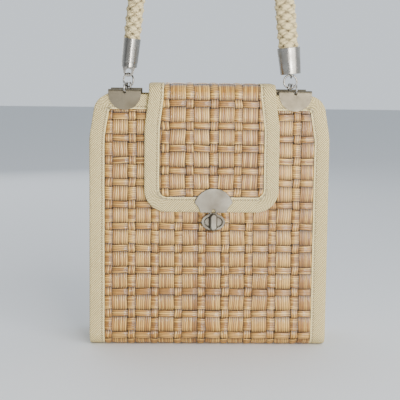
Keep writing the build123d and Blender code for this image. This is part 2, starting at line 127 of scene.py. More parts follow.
def smooth_line(name, points):
    """The points of a smooth line past a route's corners."""
    line = bpy.data.curves.new(name, "CURVE")
    line.dimensions = "3D"
    spline = line.splines.new("NURBS")
    spline.points.add(len(points) - 1)
    for control, place in zip(spline.points, points):
        control.co = (*place, 1)
    spline.order_u = 3
    spline.use_endpoint_u = True
    line.resolution_u = 12
    holder = bpy.data.objects.new(name, line)
    scene.collection.objects.link(holder)
    read = bpy.data.meshes.new_from_object(holder)
    found = [v.co.copy() for v in read.vertices]
    bpy.data.objects.remove(holder)
    return found


def new_piece(name, verts, faces, uvs=None, tones=None, smooth=True):
    """A mesh piece from points and faces, with a UV map in metres and a tone for each point."""
    mesh = bpy.data.meshes.new(name)
    mesh.from_pydata([tuple(v) for v in verts], [], faces)
    if uvs:
        layer = mesh.uv_layers.new(name="cloth")
        corners = [0] * len(mesh.loops)
        mesh.loops.foreach_get("vertex_index", corners)
        layer.data.foreach_set("uv", [c for i in corners for c in uvs[i]])
    if tones:
        attribute = mesh.attributes.new("tone", "FLOAT", "POINT")
        attribute.data.foreach_set("value", tones)
    mesh.polygons.foreach_set("use_smooth", [smooth] * len(mesh.polygons))
    piece = bpy.data.objects.new(name, mesh)
    scene.collection.objects.link(piece)
    return piece


rope_points = smooth_line("rope_line", [(x, 0, z) for x, z in rope_route])
rope_marks = [0.0]
for before, after in zip(rope_points, rope_points[1:]):
    rope_marks.append(rope_marks[-1] + (after - before).length)


def rope_place(s):
    """A place on the rope's line, with the directions along it and across it."""
    s_inside = min(max(s, 0.0), rope_marks[-1])
    i = 0
    while i < len(rope_marks) - 2 and rope_marks[i + 1] < s_inside:
        i += 1
    a, b = rope_points[i], rope_points[i + 1]
    run = rope_marks[i + 1] - rope_marks[i]
    t = (s_inside - rope_marks[i]) / run
    before = rope_points[max(i - 1, 0)]
    after = rope_points[min(i + 2, len(rope_points) - 1)]
    along = (b - before).normalized().lerp((after - a).normalized(), t).normalized()
    return a.lerp(b, t) + along * (s - s_inside), along, along.cross(Vector((0, 1, 0))).normalized()


def rope_point(s, angle, radius):
    """A point of the braid: round its line, pressed to the flat oval that the rope has there."""
    place, along, across = rope_place(s)
    turn = min(max(s / rope_marks[-1] * 2.2 - 0.6, 0), 1)
    turn = turn * turn * (3 - 2 * turn)
    flat = rope_half_flat * (2 * turn - 1)
    near_end = min(s, rope_marks[-1] - s)
    squeeze = 1 - 0.06 * max(0, 1 - near_end / 0.008)
    return (
        place
        + across * (radius * cos(angle) * (1 + flat) * squeeze)
        + Vector((0, radius * sin(angle) * (1 - flat) * squeeze, 0))
    )


def tube(rings):
    """The faces of a closed tube through equal rings of points, with both ends shut."""
    count, around = len(rings), len(rings[0])
    verts = [p for ring in rings for p in ring]
    faces = []
    for i in range(count - 1):
        for j in range(around):
            k = (j + 1) % around
            faces.append((i * around + j, i * around + k, (i + 1) * around + k, (i + 1) * around + j))
    faces.append(tuple(reversed(range(around))))
    faces.append(tuple(range((count - 1) * around, count * around)))
    return verts, faces


rope_verts, rope_faces, rope_uvs, rope_tones = [], [], [], []
rope_start, rope_end = -0.004, rope_marks[-1] + 0.004
rope_steps, plait_sides, yarn_twist = 300, 18, 900
for plait in range(8):
    way = 1 if plait < 4 else -1
    slope = way * 2 * pi * plait_middle / plait_lead
    lean = sqrt(1 + slope * slope)
    rings = []
    for i in range(rope_steps + 1):
        s = rope_start + (rope_end - rope_start) * i / rope_steps
        angle = way * 2 * pi * s / plait_lead + plait * pi / 2
        wave = way * cos(8 * pi * s / plait_lead)
        ring = []
        for j in range(plait_sides):
            phi = 2 * pi * j / plait_sides
            yarn_ridge = cos(plait_yarns * 2 * phi + way * s * yarn_twist)
            ridge = 1 + 0.13 * yarn_ridge
            off = plait_half_width * cos(phi) * ridge
            lift = plait_half_thick * sin(phi) * ridge
            radius = plait_middle + plait_wave * wave + lift
            ring.append(rope_point(s - off * slope / lean, angle + off / lean / plait_middle, radius))
            rope_uvs.append((plait + j / plait_sides, s))
            # Painted shade: the tone darkens the plait where it dives under the next, on its side towards the
            # core and in the grooves between its yarns.
            rope_tones.append(0.5 + 0.22 * wave + 0.28 * sin(phi) + 0.1 * yarn_ridge)
        rings.append(ring)
    verts, faces = tube(rings)
    start = len(rope_verts)
    rope_verts += verts
    rope_faces += [tuple(start + k for k in f) for f in faces]
handle_braid = new_piece("handle_braid", rope_verts, rope_faces, rope_uvs, rope_tones)
core_rings = []
for i in range(121):
    s = rope_start + (rope_end - rope_start) * i / 120
    core_rings.append([rope_point(s, 2 * pi * j / 16, 0.0046) for j in range(16)])
handle_core = new_piece("handle_core", *tube(core_rings))


def outward(piece):
    """Turns a closed piece's faces to look outwards."""
    shape = bmesh.new()
    shape.from_mesh(piece.data)
    bmesh.ops.recalc_face_normals(shape, faces=shape.faces)
    shape.to_mesh(piece.data)
    shape.free()


def material_nodes(name, base, roughness, **sockets):
    """A new material with its even sockets set, and the means to add, blend and join its nodes."""
    material = bpy.data.materials.new(name)
    material.use_nodes = True
    nodes, links = material.node_tree.nodes, material.node_tree.links
    shader = nodes["Principled BSDF"]
    shader.inputs["Base Color"].default_value = (*base, 1)
    shader.inputs["Roughness"].default_value = roughness
    for socket, value in sockets.items():
        shader.inputs[socket.replace("_", " ")].default_value = value

    def fill(socket, value):
        """Sets a socket to a number or colour, or links another node's output to it."""
        if isinstance(value, bpy.types.NodeSocket):
            links.new(value, socket)
        else:
            socket.default_value = value

    def add(kind, settings=None, **inputs):
        """Adds one node. An input is given by its name, or as i and its number."""
        node = nodes.new("ShaderNode" + kind)
        for setting, value in (settings or {}).items():
            setattr(node, setting, value)
        for key, value in inputs.items():
            numbered = key[0] == "i" and key[1:].isdigit()
            fill(node.inputs[int(key[1:]) if numbered else key], value)
        return node

    def blend(factor, low, high):
        """Mixes two colours, or two colour outputs, by a factor."""
        mix = nodes.new("ShaderNodeMix")
        mix.data_type = "RGBA"
        links.new(factor, mix.inputs[0])
        for socket, value in ((mix.inputs[6], low), (mix.inputs[7], high)):
            fill(socket, value if isinstance(value, bpy.types.NodeSocket) else (*value, 1))
        return mix.outputs[2]

    def join(output, socket):
        """Leads a node's output to the shader."""
        links.new(output, shader.inputs[socket])

    return material, add, blend, join


scaled = {"operation": "MULTIPLY_ADD"}
cotton, add, blend, join = material_nodes("cream_cotton", (0.72, 0.66, 0.5), 0.85, Sheen_Weight=0.08)
cloth_uv = add("UVMap", {"uv_map": "cloth"})
place = add("TexCoord")
dirt = add("TexNoise", Vector=place.outputs["Object"], Scale=40.0, Detail=4.0)
fuzz = add("TexNoise", Vector=place.outputs["Object"], Scale=900.0, Detail=3.0)
yarn_stretch = add("Mapping", Vector=cloth_uv.outputs["UV"], Scale=(14.0, 520.0, 1.0), Rotation=(0, 0, 0.5))
yarn = add(
    "TexWave", {"wave_type": "BANDS", "bands_direction": "X"},
    Vector=yarn_stretch.outputs["Vector"], Scale=1.0, Distortion=1.2,
)
# Painted shade: the tone turns the cream nearly black in the braid's crevices; the core has no tone, so it is
# painted that shade all over.
under = add("Attribute", {"attribute_name": "tone"})
cream = blend(dirt.outputs["Fac"], (0.80, 0.62, 0.30), (0.99, 0.84, 0.47))
crevice_shade = add("MapRange", Value=under.outputs["Fac"], i1=0.6, i2=0.95)
join(blend(crevice_shade.outputs["Result"], (0.035, 0.018, 0.006), cream), "Base Color")
height = add("Math", {"operation": "ADD"}, i0=yarn.outputs["Fac"], i1=fuzz.outputs["Fac"])
bump = add("Bump", Height=height.outputs["Value"], Strength=0.45, Distance=0.0004)
join(bump.outputs["Normal"], "Normal")
for piece in (handle_braid, handle_core):
    outward(piece)
    piece.data.materials.append(cotton)
    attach(piece, "handle")
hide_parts("handle_rope")

# ---- the woven box ----
# One long plaited mat makes the front, the base and the back. Wide and narrow bundles of
# varnished raffia cross over and under, so big squares, bars and small squares alternate.
mm = 0.001
top_z, half_top, half_base = 214 * mm, 21 * mm, 33 * mm
shoulder_in, shoulder_down = 6 * mm, 36 * mm
front_slope = (half_base - half_top) / top_z
front_lean = atan(front_slope)
mat_thick = 2.6 * mm
column_pitch, wide_column = 19.9 * mm, 13.3 * mm
row_pitch, wide_row = 18.7 * mm, 12.1 * mm
strip_gap = 0.35 * mm
weave_middle, weave_rise = -0.85 * mm, 0.72 * mm
straw_radius = 0.42 * mm
straws = Random(7)


def bent_section(corners, radius):
    """A sheet's side section, bent to a radius at its corners.

    Gives its length, and a way to find its point and outward direction at a distance.
    """
    parts = []
    at = Vector(corners[0])
    for i in range(1, len(corners)):
        corner = Vector(corners[i])
        along = (corner - Vector(corners[i - 1])).normalized()
        cut = turn = 0
        if i < len(corners) - 1:
            onward = (Vector(corners[i + 1]) - corner).normalized()
            turn = along.angle(onward)
            cut = radius * sin(turn / 2) / cos(turn / 2)
        end = corner - along * cut
        parts.append(((end - at).length, at, along, False))
        if turn:
            parts.append((turn * radius, end, along, True))
            at = corner + onward * cut
    total = sum(part[0] for part in parts)

    def find(s):
        for length, start, along, bent in parts:
            if s <= length:
                break
            s -= length
        else:
            s += length
        out = Vector((along.y, -along.x))
        if not bent:
            return start + along * s, out
        angle = s / radius
        turned = Vector((out.x * cos(angle) - out.y * sin(angle), out.x * sin(angle) + out.y * cos(angle)))
        return start + (turned - out) * radius, turned

    return total, find


box_length, box_section = bent_section(
    ((-half_top, top_z), (-half_base, 0), (half_base, 0), (half_top, top_z)), 10 * mm
)


def half_side(z):
    """Half the box's width at a height."""
    return (101 + 0.75 * z / top_z) * mm


def drawn_in(z):
    """Half the box's width at a height, where the sides draw in along the shoulders."""
    return half_side(z) - max(z - top_z + shoulder_down, 0) * shoulder_in / shoulder_down


def half_section(z):
    """Half the box's depth at a height."""
    return half_base - front_slope * z


def on_box(x, s, h):
    """A point on the long mat: across it, along it from the front's top edge, and out from its outer face."""
    place, out = box_section(s)
    return Vector((x, place.x + out.x * h, place.y + out.y * h))


def bands(start, end, anchor, pitch, wide):
    """The crossings along a strip: alternate wide and narrow intervals between two distances."""
    found = []
    edge = anchor - wide / 2
    while edge > start:
        edge -= pitch
    while edge < end:
        for low, high, kind in ((edge, edge + wide, 1), (edge + wide, edge + pitch, 0)):
            if high > start and low < end:
                found.append((low, high, kind))
        edge += pitch
    return found


def weave(name, place, columns, rows, u_range, v_range, edge_in, straw_counts):
    """Plaits a mat as two pieces, its upright strips and its crosswise strips.

    Each strip is a bundle of straws, pressed down under the edge's tape.
    """
    pieces = []
    columns = bands(*u_range, *columns)
    rows = bands(*v_range, *rows)
    for strips, crossings, upright in ((columns, rows, True), (rows, columns, False)):
        start_at, end_at = (v_range if upright else u_range)
        verts, faces, uvs, tones = [], [], [], []
        for low, high, wide in strips:
            width = (high - low) - (strip_gap if upright else 3.0 * strip_gap) - straws.random() * 0.3 * mm
            middle = (low + high) / 2 + straws.uniform(-0.2, 0.2) * mm
            count = straw_counts[1 - wide] + (straws.random() < 0.3)
            shares = [straws.uniform(0.75, 1.25) for _ in range(count)]
            total = sum(shares)
            across = []
            edge = 0
            for number, share in enumerate(shares):
                for part, rise in ((0.02, 0), (0.28, 0.85), (0.72, 0.85)):
                    across.append(((edge + share * part) / total, rise, number + part))
                edge += share
            across.append((1, 0, count - 0.02))
            lifts = [straws.uniform(-0.12, 0.12) * mm for _ in range(count + 1)]
            wobble, phase = straws.uniform(0.1, 0.4) * mm, straws.uniform(0, 6.28)
            seed = straws.randrange(1, 400) * 10
            stations = []
            for first, last, other_wide in crossings:
                over = (wide == other_wide) if upright else (wide != other_wide)
                skew = straws.uniform(-0.45, 0.45) * mm
                for t in ((0, 0.12, 0.32, 0.68, 0.88) if other_wide else (0, 0.18, 0.5, 0.82)):
                    along = first + (last - first) * t
                    if start_at - 3 * mm < along < end_at + 3 * mm:
                        rise = sin(pi * t) ** 0.6 * (1 if over else -1)
                        stations.append((min(max(along, start_at), end_at), rise, skew * (2 * t - 1)))
            begin = len(verts)
            for along, rise, skew in stations:
                drift = wobble * sin(along * 45 + phase) + skew
                for share, ridge, number in across:
                    side = middle + (share - 0.5) * width + drift
                    u, v = (side, along) if upright else (along, side)
                    u, v = min(max(u, u_range[0]), u_range[1]), min(max(v, v_range[0]), v_range[1])
                    crown = 0.22 * mm * (1 - (2 * share - 1) ** 4)
                    h = weave_middle + weave_rise * rise + crown + (straw_radius + lifts[int(number)]) * ridge
                    inside = edge_in(u, v)
                    if inside < 5 * mm:
                        u += (5 * mm - inside) * (1 if u < (u_range[0] + u_range[1]) / 2 else -1)
                    h = min(h, -1.3 * mm + max(inside - 12.5 * mm, 0) * 1.1)
                    if inside < 6 * mm:
                        h = weave_middle - 0.4 * mm
                    verts.append(place(u, v, h))
                    uvs.append((seed + number, along))
                    # Painted shade: the tone darkens a point where its bundle dives under, in the valleys
                    # between straws, most at the bundle's edges, and in a band along the tape's edge.
                    shade = min(max((inside - 12.0 * mm) / (1.6 * mm), 0), 1)
                    straw_tone = 0.42 + 0.65 * ridge if 0.01 < share < 0.99 else 0.1
                    tones.append(min(max(0.5 + 0.5 * rise, 0), 1) * straw_tone * shade)
            n = len(across)
            for i in range(len(stations) - 1):
                for j in range(n - 1):
                    a = begin + i * n + j
                    faces.append((a, a + 1, a + n + 1, a + n))
        pieces.append(new_piece(name + ("_upright" if upright else "_crosswise"), verts, faces, uvs, tones))
    return pieces


def face_out(piece, place_out):
    """Turns an open sheet over if most of it looks away from the side that shows."""
    shape = bmesh.new()
    shape.from_mesh(piece.data)
    looks_out = 0
    for face in shape.faces:
        looks_out += face.calc_area() * face.normal.dot(place_out(face.calc_center_median()).normalized())
    if looks_out < 0:
        bmesh.ops.reverse_faces(shape, faces=shape.faces)
    shape.to_mesh(piece.data)
    shape.free()


box_rows = (sqrt((top_z - 130.3 * mm) ** 2 * (1 + front_slope ** 2)), row_pitch, wide_row)


def rounded_in(from_side, from_end, radius):
    """How far a place lies inside an edge with a rounded corner."""
    if from_side < radius and from_end < radius:
        return radius - hypot(radius - from_side, radius - from_end)
    return min(from_side, from_end)


def box_edge_in(u, v):
    """How far a place on the long mat lies inside its edge."""
    from_end = min(v, box_length - v)
    drawn = shoulder_in * max(1 - from_end / shoulder_down, 0)
    return rounded_in(half_side(top_z) - drawn - abs(u), from_end, 15 * mm)


box_weave = weave(
    "box_weave", on_box, (4.2 * mm, column_pitch, wide_column), box_rows,
    (-92.5 * mm, 92.5 * mm), (8 * mm, box_length - 8 * mm), box_edge_in, (7, 3),
)
for piece in box_weave:
    face_out(piece, lambda p: Vector((0, p.y, min(p.z - 30 * mm, 0) * 3)))


def ground(name, place, u_of, v_range, steps, inner, outer):
    """A thin sheet under a mat's crossings, which shows in the gaps."""
    bpy.ops.object.select_all(action="DESELECT")
    bpy.ops.mesh.primitive_grid_add(x_subdivisions=24, y_subdivisions=steps, size=1)
    piece = bpy.context.active_object
    piece.name = name
    for v in piece.data.vertices:
        along = v_range[0] + (v_range[1] - v_range[0]) * (v.co.y + 0.5)
        v.co = place(u_of(along) * 2 * v.co.x, along, (inner + outer) / 2)
    thickness = piece.modifiers.new("thickness", "SOLIDIFY")
    thickness.thickness = abs(outer - inner)
    thickness.offset = 0
    bpy.ops.object.modifier_apply(modifier="thickness")
    bpy.ops.object.shade_smooth_by_angle(angle=radians(40))
    return piece


box_ground = ground(
    "box_ground", on_box, lambda v: 93 * mm, (8 * mm, box_length - 8 * mm), 110, -2.55 * mm, -1.75 * mm
)

# Varnished straw: every straw its own golden tan and streaked along its length, with painted shade, near
# black, where a bundle dives under the next one, between its straws and along the tape's edge. The varnish is
# satin with soft highlights.
def straw_material(name, light, tan, brown):
    """Varnished straw in a light, a middle and a deep tone."""
    material, add, blend, join = material_nodes(
        name, tan, 0.36, Coat_Weight=0.6, Coat_Roughness=0.1, Specular_IOR_Level=0.5
    )
    cloth_uv = add("UVMap", {"uv_map": "cloth"})
    split = add("SeparateXYZ", Vector=cloth_uv.outputs["UV"])
    straw = add("Math", {"operation": "FLOOR"}, i0=split.outputs["X"])
    own = add("TexWhiteNoise", {"noise_dimensions": "1D"}, W=straw.outputs["Value"])
    stretched = add("Mapping", Vector=cloth_uv.outputs["UV"], Scale=(3.0, 26.0, 1.0))
    streak = add("TexNoise", Vector=stretched.outputs["Vector"], Scale=1.0, Detail=5.0, Roughness=0.65)
    fine = add("Mapping", Vector=cloth_uv.outputs["UV"], Scale=(11.0, 90.0, 1.0))
    grain = add("TexNoise", Vector=fine.outputs["Vector"], Scale=1.0, Detail=3.0)
    place = add("TexCoord")
    patch = add("TexNoise", Vector=place.outputs["Object"], Scale=28.0, Detail=2.0)
    own_tone = add("MapRange", Value=own.outputs["Value"], i3=0.15, i4=0.75)
    toned = add("Math", scaled, i0=streak.outputs["Fac"], i1=0.7, i2=own_tone.outputs["Result"])
    patched = add("Math", scaled, i0=patch.outputs["Fac"], i1=0.5, i2=toned.outputs["Value"])
    centred = add("MapRange", Value=patched.outputs["Value"], i1=0.45, i2=1.35)
    ramp = add("ValToRGB", Fac=centred.outputs["Result"])
    ramp.color_ramp.elements[0].color = (*brown, 1)
    ramp.color_ramp.elements[1].color = (*light, 1)
    middle = ramp.color_ramp.elements.new(0.45)
    middle.color = (*tan, 1)
    # Painted shade: the tone blends the straw towards a near-black brown in the dives, the gaps between
    # straws and along the tape.
    lift = add("Attribute", {"attribute_name": "tone"})
    shade_depth = add("MapRange", Value=lift.outputs["Fac"], i1=0.3, i2=0.98)
    dark = blend(grain.outputs["Fac"], (0.035, 0.018, 0.008), (0.12, 0.065, 0.028))
    join(blend(shade_depth.outputs["Result"], dark, ramp.outputs["Color"]), "Base Color")
    rough = add("MapRange", Value=grain.outputs["Fac"], i3=0.28, i4=0.48)
    join(rough.outputs["Result"], "Roughness")
    bump = add("Bump", Height=grain.outputs["Fac"], Strength=0.35, Distance=0.0003)
    join(bump.outputs["Normal"], "Normal")
    return material


golden_straw = straw_material("golden_straw", (0.92, 0.54, 0.12), (0.50, 0.225, 0.030), (0.11, 0.038, 0.006))
# Painted shade: the sheet under the crossings is straw coloured as in deep shade, a near-black brown with
# faint rows.
straw_shade_sheet, add, blend, join = material_nodes("straw_underside_in_shade", (0.09, 0.05, 0.02), 0.7)
place = add("TexCoord")
rows_wave = add(
    "TexWave", {"bands_direction": "X"},
    Vector=place.outputs["Object"], Scale=160.0, Distortion=3.0, Detail=2.0,
)
join(blend(rows_wave.outputs["Fac"], (0.05, 0.027, 0.01), (0.17, 0.095, 0.04)), "Base Color")
bump = add("Bump", Height=rows_wave.outputs["Fac"], Strength=0.4, Distance=0.0004)
join(bump.outputs["Normal"], "Normal")


def finish_mat(weave_pieces, ground_piece, body):
    """Gives a mat's strips their straw finish and the sheet under them its painted shade, and puts them on a
    body.
    """
    for piece in (*weave_pieces, ground_piece):
        piece.data.materials.append(straw_shade_sheet if piece is ground_piece else golden_straw)
        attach(piece, body)


finish_mat(box_weave, box_ground, "bag")
for piece in box_weave:
    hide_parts("woven_body")

# ---- the two woven sides ----
# Each side is its own mat of the same plait, set a little inside the long mat's edges.
side_recess, side_top_z, side_corner = 1.0 * mm, 204 * mm, 5 * mm



def side_place(side):
    """The way to find a point on one side: across it, up it, and out from its outer face."""
    return lambda y, z, h: Vector((side * (drawn_in(z) - side_recess + h), y, z))


def side_edge_in(y, z):
    """How far a place on a side lies inside its edge."""
    return rounded_in(half_section(z) - mat_thick - abs(y), min(z - mat_thick, side_top_z - z), side_corner)


for side, side_name in ((-1, "left"), (1, "right")):
    on_side = side_place(side)
    side_weave = weave(
        "side_weave_" + side_name, on_side, (0, column_pitch, wide_column),
        (130.3 * mm, row_pitch, wide_row), (-30 * mm, 30 * mm), (8 * mm, 197 * mm),
        side_edge_in, (7, 3),
    )
    for piece in side_weave:
        face_out(piece, lambda p, side=side: Vector((side, 0, 0)))
        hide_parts("gusset_" + side_name)
    side_ground = ground(
        "side_ground_" + side_name, on_side, lambda v: half_section(v) - 8 * mm,
        (8 * mm, 197 * mm), 40, -2.55 * mm, -1.75 * mm,
    )
    finish_mat(side_weave, side_ground, "bag")

# ---- the woven flap ----
# The flap is a smaller mat of the same plait. It starts at the cloth hinge behind the mouth,
# bends over the opening and hangs down the front.
flap_middle, flap_gap, flap_thick = 1.8 * mm, 0.4 * mm, 3.4 * mm
flap_end_z, crown_z, hinge_y, hinge_z = 115 * mm, 219.4 * mm, 21.8 * mm, 214.6 * mm
front_out = flap_gap / cos(front_lean)
flap_length, flap_section = bent_section(
    (
        (hinge_y, hinge_z),
        (hinge_y - 8 * mm, crown_z),
        (-half_section(crown_z) - front_out, crown_z),
        (-half_section(flap_end_z) - front_out, flap_end_z),
    ),
    7 * mm,
)


def on_flap(x, s, h):
    """A point on the flap: across it, along it from the hinge, and out from its outer face."""
    place, out = flap_section(s)
    return Vector((x, place.x + out.x * (flap_thick + h), place.y + out.y * (flap_thick + h)))


def flap_edge_in(u, v):
    """How far a place on the flap lies inside its edge."""
    spread = min(max((v - flap_length + 101 * mm) / (28 * mm), 0), 1)
    return rounded_in((53.5 + 3.5 * spread) * mm - abs(u - flap_middle), flap_length - v, 19 * mm)


flap_weave = weave(
    "flap_weave", on_flap, (-6.8 * mm, 20.4 * mm, 13.7 * mm),
    (flap_length - (140.9 - 115) * mm, row_pitch, wide_row),
    (flap_middle - 46 * mm, flap_middle + 46 * mm), (1.5 * mm, flap_length - 8 * mm),
    flap_edge_in, (7, 3),
)


def out_of_flap(point):
    """Which way is outward of a flap point: away from the crown's middle, or straight forward."""
    if point.z > 205 * mm:
        return Vector((0, point.y - 6 * mm, point.z - 195 * mm))
    return Vector((0, -1, 0))


for piece in flap_weave:
    face_out(piece, out_of_flap)
    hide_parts("flap_panel")


def on_flap_centred(x, s, h):
    """A point on the flap, measured across from its own middle."""
    return on_flap(x + flap_middle, s, h)


flap_ground = ground(
    "flap_ground", on_flap_centred, lambda v: 47 * mm,
    (1 * mm, flap_length - 8 * mm), 60, -2.55 * mm, -1.75 * mm,
)
finish_mat(flap_weave, flap_ground, "flap")

# ---- the twill tape round every edge ----
# Cream twill tape, an inch wide, is folded over the edges of each mat and sewn down
# with one row of thread just inside its scalloped selvedge.
tape_shows, tape_puff = 12.7 * mm, 0.22 * mm
stitch_in, stitch_pitch, stitch_long, stitch_thick = 10.6 * mm, 3.1 * mm, 2.1 * mm, 0.34 * mm
pick_pitch, pick_out = 1.9 * mm, 0.22 * mm


def edge_line(corners, step, closed, side):
    """Evenly spaced places along a flat mat's edge, with the way into the mat at each."""
    count = len(corners)
    trail = []
    for i, (u, v, radius) in enumerate(corners):
        corner = Vector((u, v))
        if not closed and i in (0, count - 1):
            trail.append(corner)
            continue
        to_last = (Vector(corners[i - 1][:2]) - corner).normalized()
        to_next = (Vector(corners[(i + 1) % count][:2]) - corner).normalized()
        half = to_last.angle(to_next) / 2
        cut = radius * cos(half) / sin(half)
        centre = corner + (to_last + to_next).normalized() * (radius / sin(half))
        start, end = corner + to_last * cut - centre, corner + to_next * cut - centre
        turn = start.angle(end)
        for j in range(13):
            t = j / 12
            spot = start * (sin(turn * (1 - t)) / sin(turn)) + end * (sin(turn * t) / sin(turn))
            trail.append(centre + spot)
    if closed:
        trail.append(trail[0].copy())
    marks = [0.0]
    for a, b in zip(trail, trail[1:]):
        marks.append(marks[-1] + (b - a).length)
    steps = max(int(marks[-1] / step), 2)
    found = []
    k = 0
    for i in range(steps + (0 if closed else 1)):
        s = marks[-1] * i / steps
        while k < len(marks) - 2 and marks[k + 1] < s:
            k += 1
        a, b = trail[k], trail[k + 1]
        along = (b - a).normalized()
        spot = a + (b - a) * ((s - marks[k]) / max(marks[k + 1] - marks[k], 1e-9))
        found.append((spot, Vector((-along.y, along.x)) * side, s))
    return found, marks[-1]


def fold_tape(name, place, corners, side, thick, closed=True):
    """A tape folded over a mat's edge: its closed section, carried along the edge."""
    line, length = edge_line(corners, 0.63 * mm, closed, side)
    leaf = (
        (tape_shows, -0.75 * mm, 1), (tape_shows, 0.02 * mm, 1), (tape_shows - 0.35 * mm, 0.16 * mm, 0.8),
        (stitch_in + 0.6 * mm, 0.17 * mm, 0), (stitch_in, -0.16 * mm, 0),
        (stitch_in - 0.6 * mm, 0.14 * mm, 0), (6.5 * mm, tape_puff, 0),
        (2.4 * mm, 0.16 * mm, 0), (0.9 * mm, -0.05 * mm, 0), (0.15 * mm, -0.5 * mm, 0),
    )
    section = list(leaf) + [(d, -thick - h, out) for d, h, out in reversed(leaf)]
    around = [0.0]
    for a, b in zip(section, section[1:]):
        around.append(around[-1] + hypot(b[0] - a[0], b[1] - a[1]))
    verts, uvs, tones, faces = [], [], [], []
    for spot, inward, s in line:
        scallop = pick_out * abs(sin(pi * s / pick_pitch)) - pick_out / 2
        ripple = 0.05 * mm * sin(s * 260) + 0.04 * mm * sin(s * 97)
        for (d, h, out), w in zip(section, around):
            flat = spot + inward * (d + scallop * out + ripple * min(d / tape_shows, 1))
            verts.append(place(flat.x, flat.y, h))
            uvs.append((w, s))
            # Tone 0 marks the stitch groove, where painted shade goes; 1 marks the selvedge.
            tones.append(0.0 if d == stitch_in else 1.0 if out else 0.6)
    n, rows = len(section), len(line)
    for i in range(rows if closed else rows - 1):
        for j in range(n):
            k, m = (j + 1) % n, (i + 1) % rows
            faces.append((i * n + j, i * n + k, m * n + k, m * n + j))
    if not closed:
        faces.append(tuple(range(n)))
        faces.append(tuple(range((rows - 1) * n, rows * n)))
    tape = new_piece(name, verts, faces, uvs, tones)
    outward(tape)
    return tape


def sew(name, place, corners, side, closed, inset, faces_at, skip=None):
    """A row of thread stitches: small rounded lengths, sunk in the tape's groove."""
    line, length = edge_line(corners, 0.31 * mm, closed, side)
    bpy.ops.object.select_all(action="DESELECT")
    bpy.ops.mesh.primitive_uv_sphere_add(segments=6, ring_count=4, radius=1)
    seed = bpy.context.active_object
    shape = [v.co.copy() for v in seed.data.vertices]
    sides = [tuple(f.vertices) for f in seed.data.polygons]
    bpy.data.objects.remove(seed)
    verts, faces = [], []
    for outer_h in faces_at:
        s = stitch_pitch / 2
        while s < length - stitch_long:
            i = min(int(s / length * (len(line) - 1)), len(line) - 2)
            middle = line[i][0] + line[i][1] * inset
            fore = line[i + 1][0] + line[i + 1][1] * inset
            here, ahead = place(middle.x, middle.y, outer_h), place(fore.x, fore.y, outer_h)
            up = (place(middle.x, middle.y, outer_h + mm) - here).normalized()
            along = (ahead - here).normalized()
            across = up.cross(along)
            if skip is None or not skip(middle):
                begin = len(verts)
                for co in shape:
                    verts.append(
                        here + along * (co.z * stitch_long / 2) + across * (co.x * stitch_thick)
                        + up * (co.y * stitch_thick * 0.8 + 0.05 * mm)
                    )
                faces += [tuple(begin + k for k in f) for f in sides]
            s += stitch_pitch
    thread = new_piece(name, verts, faces)
    outward(thread)
    return thread


def tape_material(name, light, shade):
    """Twill: fine ribs that slant one way across each face and turn at the fold."""
    material, add, blend, join = material_nodes(name, light, 0.8, Sheen_Weight=0.05)
    cloth_uv = add("UVMap", {"uv_map": "cloth"})
    split = add("SeparateXYZ", Vector=cloth_uv.outputs["UV"])
    zigzag = add("Math", {"operation": "PINGPONG"}, i0=split.outputs["X"], i1=0.0145)
    slant = add("Math", scaled, i0=split.outputs["Y"], i1=1.0, i2=zigzag.outputs["Value"])
    ribs = add("Math", {"operation": "MULTIPLY"}, i0=slant.outputs["Value"], i1=2 * pi / 0.002)
    rib = add("Math", {"operation": "SINE"}, i0=ribs.outputs["Value"])
    rib_height = add("MapRange", Value=rib.outputs["Value"], i1=-1.0)
    place = add("TexCoord")
    soil = add("TexNoise", Vector=place.outputs["Object"], Scale=22.0, Detail=5.0)
    fuzz = add("TexNoise", Vector=place.outputs["Object"], Scale=1500.0, Detail=2.0)
    soiled = add("MapRange", Value=soil.outputs["Fac"], i1=0.3, i2=0.7)
    cream = blend(soiled.outputs["Result"], tuple(c * 0.86 for c in light), light)
    # Painted shade: the hollows between the twill ribs take the shade colour.
    ribbed = add("MapRange", Value=rib_height.outputs["Result"], i1=0.15, i2=0.8, i3=0.1, i4=1.0)
    woven = blend(ribbed.outputs["Result"], shade, cream)
    # Painted shade: the stitch groove is darkened to a deeper shade colour.
    edge = add("Attribute", {"attribute_name": "tone"})
    groove = add("MapRange", Value=edge.outputs["Fac"], i1=0.0, i2=0.55)
    selvedge = add("MapRange", Value=edge.outputs["Fac"], i1=0.65, i2=1.0)
    grooved = blend(groove.outputs["Result"], tuple(c * 0.45 for c in shade), woven)
    join(blend(selvedge.outputs["Result"], grooved, light), "Base Color")
    height = add("Math", scaled, i0=fuzz.outputs["Fac"], i1=0.4, i2=rib_height.outputs["Result"])
    bump = add("Bump", Height=height.outputs["Value"], Strength=0.8, Distance=0.0004)
    join(bump.outputs["Normal"], "Normal")
    return material


cream_tape = tape_material("cream_tape", (1.0, 0.84, 0.42), (0.30, 0.20, 0.07))
cream_thread, add, blend, join = material_nodes("cream_thread", (0.60, 0.50, 0.31), 0.6, Sheen_Weight=0.2)
place = add("TexCoord")
strands = add("TexNoise", Vector=place.outputs["Object"], Scale=1200.0, Detail=3.0)
join(blend(strands.outputs["Fac"], (0.42, 0.33, 0.18), (0.70, 0.60, 0.40)), "Base Color")

